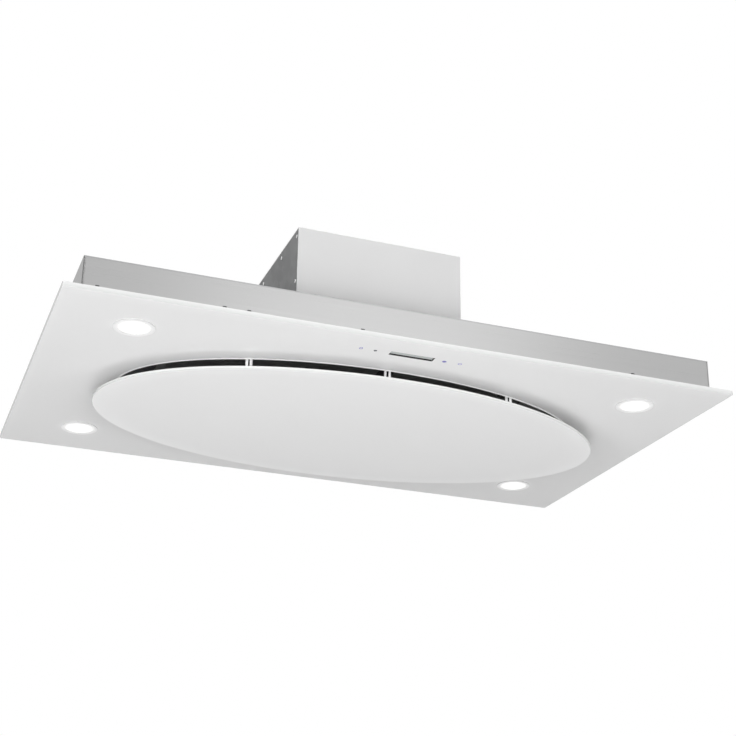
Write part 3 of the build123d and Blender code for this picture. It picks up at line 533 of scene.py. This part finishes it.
FINISHES = {finish.name: finish for finish in (
    panel_glass(),
    disc_glass(),
    polished("bright_trim", 0.92, 0.12),
    front_steel("body_steel"),
    zinc("galvanised_sheet", 0.60),
    painted("box_sheet", 0.74),
    painted("black_sheet", 0.025),
    cast("filter_metal", 0.34, 0.4),
    layered_mesh("filter_mesh", 0.3),
    cast("disc_frame_metal", 0.05, 0.45),
    moulded("black_plastic", 0.012),
    moulded("clip_plastic", 0.09),
    rim_with_painted_glow("lamp_rim"),
    lit_lens("lamp_lens"),
    cast("lamp_can", 0.55),
    moulded("lamp_board", 0.8, roughness=0.4),
    moulded("display_lens", 0.58, (0.95, 1.0, 0.985), 0.2),
    board("circuit_board", (0.02, 0.12, 0.05)),
    moulded("driver_case", 0.75),
    moulded("tray_plastic", 0.07),
    polished("screw_steel", 0.78, 0.18),
    zinc("blower_sheet", 0.6, 90.0),
    cast("impeller_sheet", 0.55, 0.35),
    turned("shaft_steel", 0.55),
    laminated("core_steel", 0.3),
    cast("motor_can", 0.45, 0.4),
    turned("bearing_steel", 0.65, 0.15),
    moulded("capacitor_case", 0.7, roughness=0.35),
    moulded("collar_plastic", 0.016, roughness=0.42),
    foam("gasket_foam", 0.02),
)}
# Matt zinc sides of the motor box, made dark enough to paint the shade that falls on them as well.
SHADED_BOX_SIDE = zinc("box_side_zinc_shaded", 0.195, 60.0, 0.15, 0.55)
OWN_FINISH = {
    # The left end cap is a darker copy of the same steel, which paints the shade on that side.
    "body_end_left": brushed("body_steel_left_shaded", 0.2, "y"),
    "body_end_right": brushed("body_steel_right", 0.475, "y"),
    "body_top": zinc("body_top_zinc", 0.42),
    "box_side_left": SHADED_BOX_SIDE,
    "box_side_right": SHADED_BOX_SIDE,
    "opening_trim": trim_with_painted_glow("opening_trim"),
}


def dress_nodes():
    """Gives each CAD node its own finish, or that of its material slot."""
    for name, node in NODES.items():
        slot = node.data.materials[0].name
        finish = OWN_FINISH.get(name, FINISHES[slot])
        node.material_slots[0].material = finish.material


dress_nodes()


# ---------------------------------------------------------------- mesh helpers
def piece(name, mesh, finish=None, body="hood", slot=None):
    """Links a mesh as a piece that rides on a body. Without a finish of its own it takes that of its slot."""
    mesh.materials.append((finish or FINISHES[slot]).material)
    obj = bpy.data.objects.new(name, mesh)
    SCENE.collection.objects.link(obj)
    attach(obj, body)
    return obj


def mesh_from(name, bm):
    """Ends a bmesh as a mesh whose faces look outward."""
    bmesh.ops.recalc_face_normals(bm, faces=bm.faces)
    mesh = bpy.data.meshes.new(name)
    bm.to_mesh(mesh)
    bm.free()
    return mesh


def loft(bm, rings, closed=False):
    """Joins a row of equal outlines. The row ends in flat caps, or meets its own start where it is closed."""
    for first, second in zip(rings, rings[1:] + rings[:1] if closed else rings[1:]):
        for index in range(len(first)):
            after = (index + 1) % len(first)
            bm.faces.new((first[index], first[after], second[after], second[index]))
    if not closed:
        bm.faces.new(rings[0][::-1])
        bm.faces.new(rings[-1])


def rectangle(half_x, half_y):
    """Corners of a rectangle round the origin."""
    return (-half_x, -half_y), (half_x, -half_y), (half_x, half_y), (-half_x, half_y)


def bar_between(bm, start, end, width, low, high):
    """A straight strand between two points of the XY plane, from one height to another."""
    along = (Vector(end) - Vector(start)).normalized()
    across = Vector((-along.y, along.x)) * width / 2
    corners = [Vector(start) - across, Vector(end) - across, Vector(end) + across, Vector(start) + across]
    loft(bm, [[bm.verts.new((c.x, c.y, z)) for c in corners] for z in (low, high)])


# ---------------------------------------------------------------- expanded metal
CELL_X = 8 * MM
CELL_Y = 4.4 * MM
STRAND = 0.9 * MM
STRAND_LAP = 0.3  # share of a strand by which two rows overlap


def ribbon(bm, points, low, high):
    """A zigzag strand through points of the XY plane, closed at its ends."""
    half = STRAND / 2
    section = ((-half, low), (half, low), (half, high), (-half, high))
    loft(bm, [[bm.verts.new((x, y + dy, z)) for dy, z in section] for x, y in points])


def expanded_metal(name, x_low, x_high, y_low, y_high, low, high, inside=lambda x, y: True):
    """Diamond mesh: zigzag strands that touch at their corners, kept where inside says so."""
    bm = bmesh.new()
    step = CELL_X / 2
    columns = int((x_high - x_low) / step)
    start_x = (x_low + x_high - columns * step) / 2
    rows = int((y_high - y_low - STRAND) / (CELL_Y / 2))
    for row in range(rows):
        base = y_low + STRAND / 2 + row * CELL_Y / 2
        runs = [[]]
        for column in range(columns + 1):
            up = (column + row) % 2
            point = (start_x + column * step, base + up * (CELL_Y / 2 - STRAND * STRAND_LAP))
            if inside(*point):
                runs[-1].append(point)
            else:
                runs.append([])
        for run in runs:
            if len(run) > 1:
                ribbon(bm, run, low, high)
    return mesh_from(name, bm)


FILTER_LIP = 3 * MM
FILTER_BORDER = 12 * MM
FILTER_FRONT_BORDER = 28 * MM
FILTER_TAB = 6 * MM
FILTER_CLEAR = 1.5 * MM
FILTER_SKIN = TRAY_LOW.z + 0.1 * MM, TRAY_LOW.z + 1.1 * MM
TRAY_SKIN = TRAY_LOW.z - 1.0 * MM, TRAY_LOW.z - 0.05 * MM
TRAY_INSET = 4 * MM
CATCH_CLEAR_X = 13 * MM
CATCH_CLEAR_Y = 26 * MM


def filter_skins():
    """The mesh in the frame of each grease filter."""
    inset = FILTER_BORDER + FILTER_LIP
    for side in ("left", "middle", "right"):
        low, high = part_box(f"filter_{side}")
        name = f"filter_skin_{side}"
        mesh = expanded_metal(name, low.x + inset, high.x - inset, low.y + FILTER_FRONT_BORDER + FILTER_LIP,
                              high.y - FILTER_TAB - inset, *FILTER_SKIN)
        piece(name, mesh, slot="filter_metal")


def tray_skin():
    """The same mesh on the front border of the tray, where it shows through the gap over the disc."""
    half_x = (OPEN_HIGH.x - OPEN_LOW.x) / 2 - TRAY_INSET
    half_y = (OPEN_HIGH.y - OPEN_LOW.y) / 2 - TRAY_INSET
    front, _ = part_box("filter_middle")
    catches = stud_places()

    def inside(x, y):
        oval = (x / half_x) ** 2 + ((y - OPEN_MIDDLE.y) / half_y) ** 2 < 1
        return oval and all(abs(x - cx) > CATCH_CLEAR_X or abs(y - cy) > CATCH_CLEAR_Y for cx, cy in catches)

    mesh = expanded_metal("tray_skin", -half_x, half_x, OPEN_MIDDLE.y - half_y, front.y - FILTER_CLEAR,
                          *TRAY_SKIN, inside)
    piece("tray_skin", mesh, slot="filter_metal")


filter_skins()
tray_skin()


# ---------------------------------------------------------------- display window and keys
LINER_WALL = 0.15 * MM
LINER_GAP = 0.19 * MM
LINER_LIFT = 0.05 * MM
ROW_Y = (WINDOW_LOW.y + WINDOW_HIGH.y) / 2


def window_liner():
    """Near-black liner on the walls of the cut-out round the display window, which paints the shade in that
    cut.
    """
    bm = bmesh.new()
    half_x = WINDOW_HIGH.x + LINER_GAP
    half_y = (WINDOW_HIGH.y - WINDOW_LOW.y) / 2 + LINER_GAP
    low, high = GLASS_LOW.z + LINER_LIFT, WINDOW_LOW.z
    rings = [[bm.verts.new((x, ROW_Y + y, z)) for x, y in rectangle(half_x - inset, half_y - inset)]
             for inset, z in ((0.0, low), (0.0, high), (LINER_WALL, high), (LINER_WALL, low))]
    loft(bm, rings, closed=True)
    # Near-black liner that paints the shade in the cut-out.
    piece("window_shade_edge", mesh_from("window_shade_edge", bm), moulded("window_shade_edge", 0.02))


def arc_points(radius, start, end, steps):
    """Points of an arc between two angles in degrees."""
    angles = [radians(start + (end - start) * step / steps) for step in range(steps + 1)]
    return [(radius * cos(angle), radius * sin(angle)) for angle in angles]


# Each key's place along the row, the width of its line and its strokes, in millimetres.
KEYS = {
    "key_lamp": (-92.0, 1.15, [arc_points(2.6, -50, 230, 14), [(-1.6, -2.1), (-1.6, -4.0)],
                               [(1.6, -2.1), (1.6, -4.0)], [(-1.6, -4.0), (1.6, -4.0)]]),
    "key_power": (-66.0, 1.7, [arc_points(1.9, 125, 415, 16), [(0, 0.6), (0, 3.2)]]),
    "key_fan": (60.0, 1.6, [arc_points(3.0, 0, 360, 18), [(-1.9, 0), (1.9, 0)], [(0, -1.9), (0, 1.9)]]),
    "key_timer": (89.0, 1.15, [arc_points(3.0, 100, 260, 9), arc_points(3.0, -80, 80, 9)]),
}
INK_DEPTH = 0.06 * MM
LINE_OVERRUN = 0.3


def key_ink(name, low, high, glow):
    """Printed ink between two colours, lit a little from behind."""
    finish = Finish(name, ior=1.5, emission_strength=glow, emission_color=(0.35, 0.3, 1.0, 1.0))
    grain = finish.noise(finish.place(), 1200.0, 2.0)
    finish.vary(grain, low, high)
    finish.rough(grain, 0.3, 0.4)
    return finish


def keys():
    """Four printed key marks, three violet and one nearly black."""
    violet = key_ink("key_ink", (0.14, 0.12, 0.42, 1.0), (0.18, 0.15, 0.5, 1.0), 0.12)
    dark = key_ink("key_ink_dark", (0.015, 0.015, 0.04, 1.0), (0.03, 0.03, 0.06, 1.0), 0.02)
    for name, (x, width, strokes) in KEYS.items():
        line = width * MM
        bm = bmesh.new()
        for stroke in strokes:
            points = [Vector((x * MM + px * MM, ROW_Y + py * MM)) for px, py in stroke]
            for start, end in zip(points, points[1:]):
                reach = (end - start).normalized() * line * LINE_OVERRUN
                bar_between(bm, start - reach, end + reach, line, GLASS_LOW.z - INK_DEPTH, GLASS_LOW.z)
        piece(name, mesh_from(name, bm), dark if name == "key_power" else violet)


window_liner()
keys()


# ---------------------------------------------------------------- small hardware
TURN = 2 * pi


def lathe(bm, levels, steps, bore=None, place=Matrix.Identity(4)):
    """Closes a stack of outlines round the Z axis. A level is a height and a radius, or a function for it."""
    if bore:
        levels = levels + [(levels[-1][0], bore), (levels[0][0], bore)]
    rings = []
    for height, radius in levels:
        ring = []
        for step in range(steps):
            angle = TURN * step / steps
            reach = radius(angle) if callable(radius) else radius
            ring.append(bm.verts.new(place @ Vector((reach * cos(angle), reach * sin(angle), height))))
        rings.append(ring)
    loft(bm, rings, closed=bool(bore))


def hexagon(radius):
    """Outline of a hex nut, by its corner radius."""
    flat = radius * cos(pi / 6)
    return lambda angle: flat / cos((angle % (pi / 3)) - pi / 6)


def ribbed(radius, depth, count):
    """Outline of a grip with rounded grooves."""
    return lambda angle: radius - depth * (0.5 + 0.5 * cos(angle * count)) ** 2


GLAND_STAND = 20 * MM
GLAND_THREAD = 7.9 * MM
GLAND_NECK = 8.2 * MM
GLAND_BORE = 4.5 * MM
SHEET = 1.5 * MM


def cable_gland():
    """Hex flange, ribbed dome nut and the lock nut under the sheet."""
    low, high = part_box("cable_gland")
    middle = (low + high) / 2
    sheet_top = high.z - GLAND_STAND
    sheet_low = sheet_top - SHEET
    nut = hexagon(12 * MM)
    slim = hexagon(11.4 * MM)
    ribs = ribbed(9 * MM, 0.7 * MM, 12)
    lock_nut = [(low.z, slim), (low.z + 0.5 * MM, nut), (sheet_low, nut)]
    thread = [(sheet_low, GLAND_THREAD), (sheet_top, GLAND_THREAD)]
    flange = [(sheet_top, nut), (sheet_top + 4.4 * MM, nut), (sheet_top + 5 * MM, slim)]
    neck = [(sheet_top + 5 * MM, GLAND_NECK), (sheet_top + 6 * MM, GLAND_NECK)]
    grip = [(sheet_top + 6.4 * MM, ribs), (sheet_top + 14 * MM, ribs)]
    dome = [(sheet_top + 16 * MM, 8.0 * MM), (sheet_top + 18.4 * MM, 6.8 * MM), (high.z - 0.4 * MM, 5.6 * MM),
            (high.z, 5.2 * MM)]
    bm = bmesh.new()
    lathe(bm, lock_nut + thread + flange + neck + grip + dome, 72, GLAND_BORE,
          Matrix.Translation((middle.x, middle.y, 0.0)))
    gland = piece("gland_nuts", mesh_from("gland_nuts", bm), slot="black_plastic")
    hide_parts("cable_gland")


# Heights and radii of the side plates' screws, and their places (y, z) on the plate, in millimetres.
SCREW_PROFILE = [(-6.0, 0.9), (-5.4, 1.45), (0.0, 1.45), (0.0, 3.5), (0.55, 3.5), (1.05, 3.2), (1.4, 2.5),
                 (1.6, 1.6)]
SCREW_SPOTS = [(-154.0, 179.5), (-154.0, 88.5), (-154.0, -2.5), (154.0, 179.5), (154.0, 88.5), (154.0, -2.5),
               (-59.5, 179.5), (59.5, 179.5)]
RECESS_REACH = 1.75 * MM
RECESS_HALF = 0.4 * MM
RECESS_FLOOR = 0.5 * MM
RECESS_TOP = 3 * MM


def cut(mesh, cutter):
    """Returns a mesh with another cut away."""
    whole = bpy.data.objects.new("whole", mesh)
    tool = bpy.data.objects.new("tool", cutter)
    SCENE.collection.objects.link(whole)
    SCENE.collection.objects.link(tool)
    step = whole.modifiers.new("cut", "BOOLEAN")
    step.operation = "DIFFERENCE"
    step.solver = "EXACT"
    step.object = tool
    bpy.context.view_layer.update()
    result = bpy.data.meshes.new_from_object(whole.evaluated_get(bpy.context.evaluated_depsgraph_get()))
    bpy.data.objects.remove(whole)
    bpy.data.objects.remove(tool)
    return result


def cross_prism(reach, half, low, high):
    """An upright bar with a plus-shaped section."""
    bm = bmesh.new()
    corner = [(reach, -half), (reach, half), (half, half)]
    outline = []
    for quarter in range(4):
        turn = Matrix.Rotation(quarter * pi / 2, 2)
        outline += [turn @ Vector(point) for point in corner]
    loft(bm, [[bm.verts.new((x, y, z)) for x, y in outline] for z in (low, high)])
    return mesh_from("recess", bm)


def cross_head():
    """One pan-head screw along +Z with a cross recess."""
    bm = bmesh.new()
    lathe(bm, [(z * MM, r * MM) for z, r in SCREW_PROFILE], 28)
    return cut(mesh_from("screw", bm), cross_prism(RECESS_REACH, RECESS_HALF, RECESS_FLOOR, RECESS_TOP))


def side_screws():
    """The screws of both side plates, each turned to an angle of its own."""
    head = cross_head()
    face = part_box("box_side_right")[1].x
    bm = bmesh.new()
    for side in (-1, 1):
        for index, (y, z) in enumerate(SCREW_SPOTS):
            turn = Matrix.Rotation(side * pi / 2, 4, "Y") @ Matrix.Rotation(0.7 * index + 0.3 * side, 4, "Z")
            copy = head.copy()
            copy.transform(Matrix.Translation((side * face, y * MM, z * MM)) @ turn)
            bm.from_mesh(copy)
    screws = piece("cross_head_screws", mesh_from("cross_head_screws", bm), slot="screw_steel")
    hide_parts("box_screws")


# Heights and radii of a rivet's dome, and the places of the rivets, in millimetres.
DOME = [(-0.2, 3.3), (0.0, 3.3), (0.6, 3.1), (1.1, 2.4), (1.45, 1.3), (1.55, 0.5)]
RIVET_SPOTS = [(x, y) for x in (-512.0, -488.0, 488.0, 512.0) for y in (-242.0, 242.0)]
HANGER_FOOT = 3 * MM


def hanger_rivets():
    """Two dome rivets in the foot of each ceiling hanger."""
    foot_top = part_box("body_top")[1].z + HANGER_FOOT
    levels = [(z * MM, r * MM) for z, r in DOME]
    bm = bmesh.new()
    for x, y in RIVET_SPOTS:
        lathe(bm, levels, 20, place=Matrix.Translation((x * MM, y * MM, foot_top)))
    piece("hanger_rivets", mesh_from("hanger_rivets", bm), slot="screw_steel")


SEAL_CLEAR = 0.1 * MM
SEAL_OUTER = 0.6 * MM
SEAL_INNER = 1.4 * MM


def corner_seals():
    """A bead in the seams between the long skins and the end caps: grey at the left, where it paints the
    shade in that seam, steel at the right.
    """
    _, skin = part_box("body_front")
    _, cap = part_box("body_end_right")
    near, far = skin.x + SEAL_CLEAR, cap.x - SHEET - SEAL_CLEAR
    middle = cap.y - (SEAL_OUTER + SEAL_INNER) / 2
    # The grey bead at the left paints the shade in that seam.
    beads = ((-1, "left", moulded("seam_shade_bead", 0.38)), (1, "right", FINISHES["body_steel"]))
    for side, word, finish in beads:
        bm = bmesh.new()
        for y in (-middle, middle):
            bar_between(bm, (side * near, y), (side * far, y), SEAL_INNER - SEAL_OUTER, GLASS_HIGH.z, cap.z)
        piece(f"corner_seals_{word}", mesh_from(f"corner_seals_{word}", bm), finish)


STUD_SLOT = 4.0 * MM
STUD_TURN = radians(20)
STUD_FOOT = 2.4 * MM
SLOT_OVERRUN = 1 * MM


def split_studs():
    """The studs of the cover disc, each split into two bright legs that spring together in its catch."""
    low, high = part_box("disc_studs")
    bottom, top = low.z + STUD_FOOT, high.z + SLOT_OVERRUN
    along = Vector((sin(STUD_TURN), cos(STUD_TURN))) * STUD_FOOT_RADIUS
    bm = bmesh.new()
    for middle in map(Vector, stud_places()):
        bar_between(bm, middle - along, middle + along, STUD_SLOT, bottom, top)
    mesh = cut(NODES["disc_studs"].data.copy(), mesh_from("slots", bm))
    mesh.name = "split_studs"
    mesh.materials.clear()
    studs = piece("split_studs", mesh, satin_with_painted_glow("stud_chrome_glow", 0.95), body="disc", slot="bright_trim")
    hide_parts("disc_studs")


cable_gland()
side_screws()
hanger_rivets()
corner_seals()
split_studs()


# ---------------------------------------------------------------- light and surroundings
AMBIENT = 0.027
FLOOR_Z = -3.3
FLOOR_HALF = 14.0
FLOOR_SEEN = 0.6


def world():
    """White wherever it is seen, and a faint light on everything else."""
    data = bpy.data.worlds.new("studio")
    SCENE.world = data
    data.use_nodes = True
    graph = Graph(data.node_tree)
    background = data.node_tree.nodes["Background"]
    graph.feed_all(background, Color=shade(1.0), Strength=graph.remap(graph.seen(), 0.0, 1.0, AMBIENT, 1.0))


# Place, target, size and power of each lamp: those that light matt surfaces, then the sheen of metal.
MATT_LAMPS = {
    "key": ((-1.6, -3.0, -2.2), (0.0, 0.0, -0.1), 1.8, 18.4),
    "below": ((0.0, -0.6, -3.0), (0.0, 0.0, -0.1), 2.2, 15.6),
    "left": ((-2.8, -0.3, -1.8), (0.0, 0.0, -0.1), 1.8, 5.1),
    "far_left": ((-5.2, -3.5, -1.6), (-0.1, -0.2, -0.1), 2.2, 172.0),
    "front": ((-0.3, -3.4, -1.2), (0.0, 0.0, -0.1), 1.4, 53.6),
    "front_right": ((1.8, -3.0, -1.2), (0.0, 0.0, -0.1), 1.4, 26.2),
    "near_left": ((-1.3, -2.0, -1.4), (-0.2, -0.2, -0.1), 1.2, 5.8),
    "near_right": ((1.0, -2.0, -1.4), (0.2, -0.2, -0.1), 1.2, 1.9),
    "top": ((-0.4, 0.6, 3.0), (0.0, 0.0, 0.1), 2.4, 60.0),
    "rear": ((0.6, 3.2, 0.9), (0.0, 0.0, 0.0), 2.0, 40.0),
}
METAL_LAMPS = {
    "sheen": ((0.98, -3.4, 0.9), (0.1, -0.3, -0.06), 1.6, 5.7),
}


def lamp(name, place, target, size, power, on_metal):
    """A round soft box. It lights either matt surfaces or the sheen of metal, and is never seen itself."""
    data = bpy.data.lights.new(name, "AREA")
    data.shape = "DISK"
    data.size = size
    data.energy = power
    box = bpy.data.objects.new(name, data)
    box.location = place
    box.rotation_mode = "QUATERNION"
    box.rotation_quaternion = (Vector(target) - Vector(place)).to_track_quat("-Z", "Y")
    box.visible_camera = False
    box.visible_transmission = False
    box.visible_glossy = on_metal
    box.visible_diffuse = not on_metal
    SCENE.collection.objects.link(box)


def lamps():
    """Hangs all the lamps."""
    for rows, on_metal in ((MATT_LAMPS, False), (METAL_LAMPS, True)):
        for name, row in rows.items():
            lamp(name, *row, on_metal)


def floor():
    """Pale floor far below, which sends light up to the glass."""
    bm = bmesh.new()
    bm.faces.new([bm.verts.new((x, y, FLOOR_Z)) for x, y in rectangle(FLOOR_HALF, FLOOR_HALF)])
    mesh = mesh_from("floor", bm)
    finish = Finish("floor", ior=1.4, base_color=shade(0.8), roughness=0.9, specular_ior_level=0.0)
    finish.glow(finish.math("MULTIPLY", finish.seen(), FLOOR_SEEN))
    mesh.materials.append(finish.material)
    obj = bpy.data.objects.new("floor", mesh)
    SCENE.collection.objects.link(obj)


world()
lamps()
floor()

# ---------------------------------------------------------------- last update of the scene
bpy.context.view_layer.update()
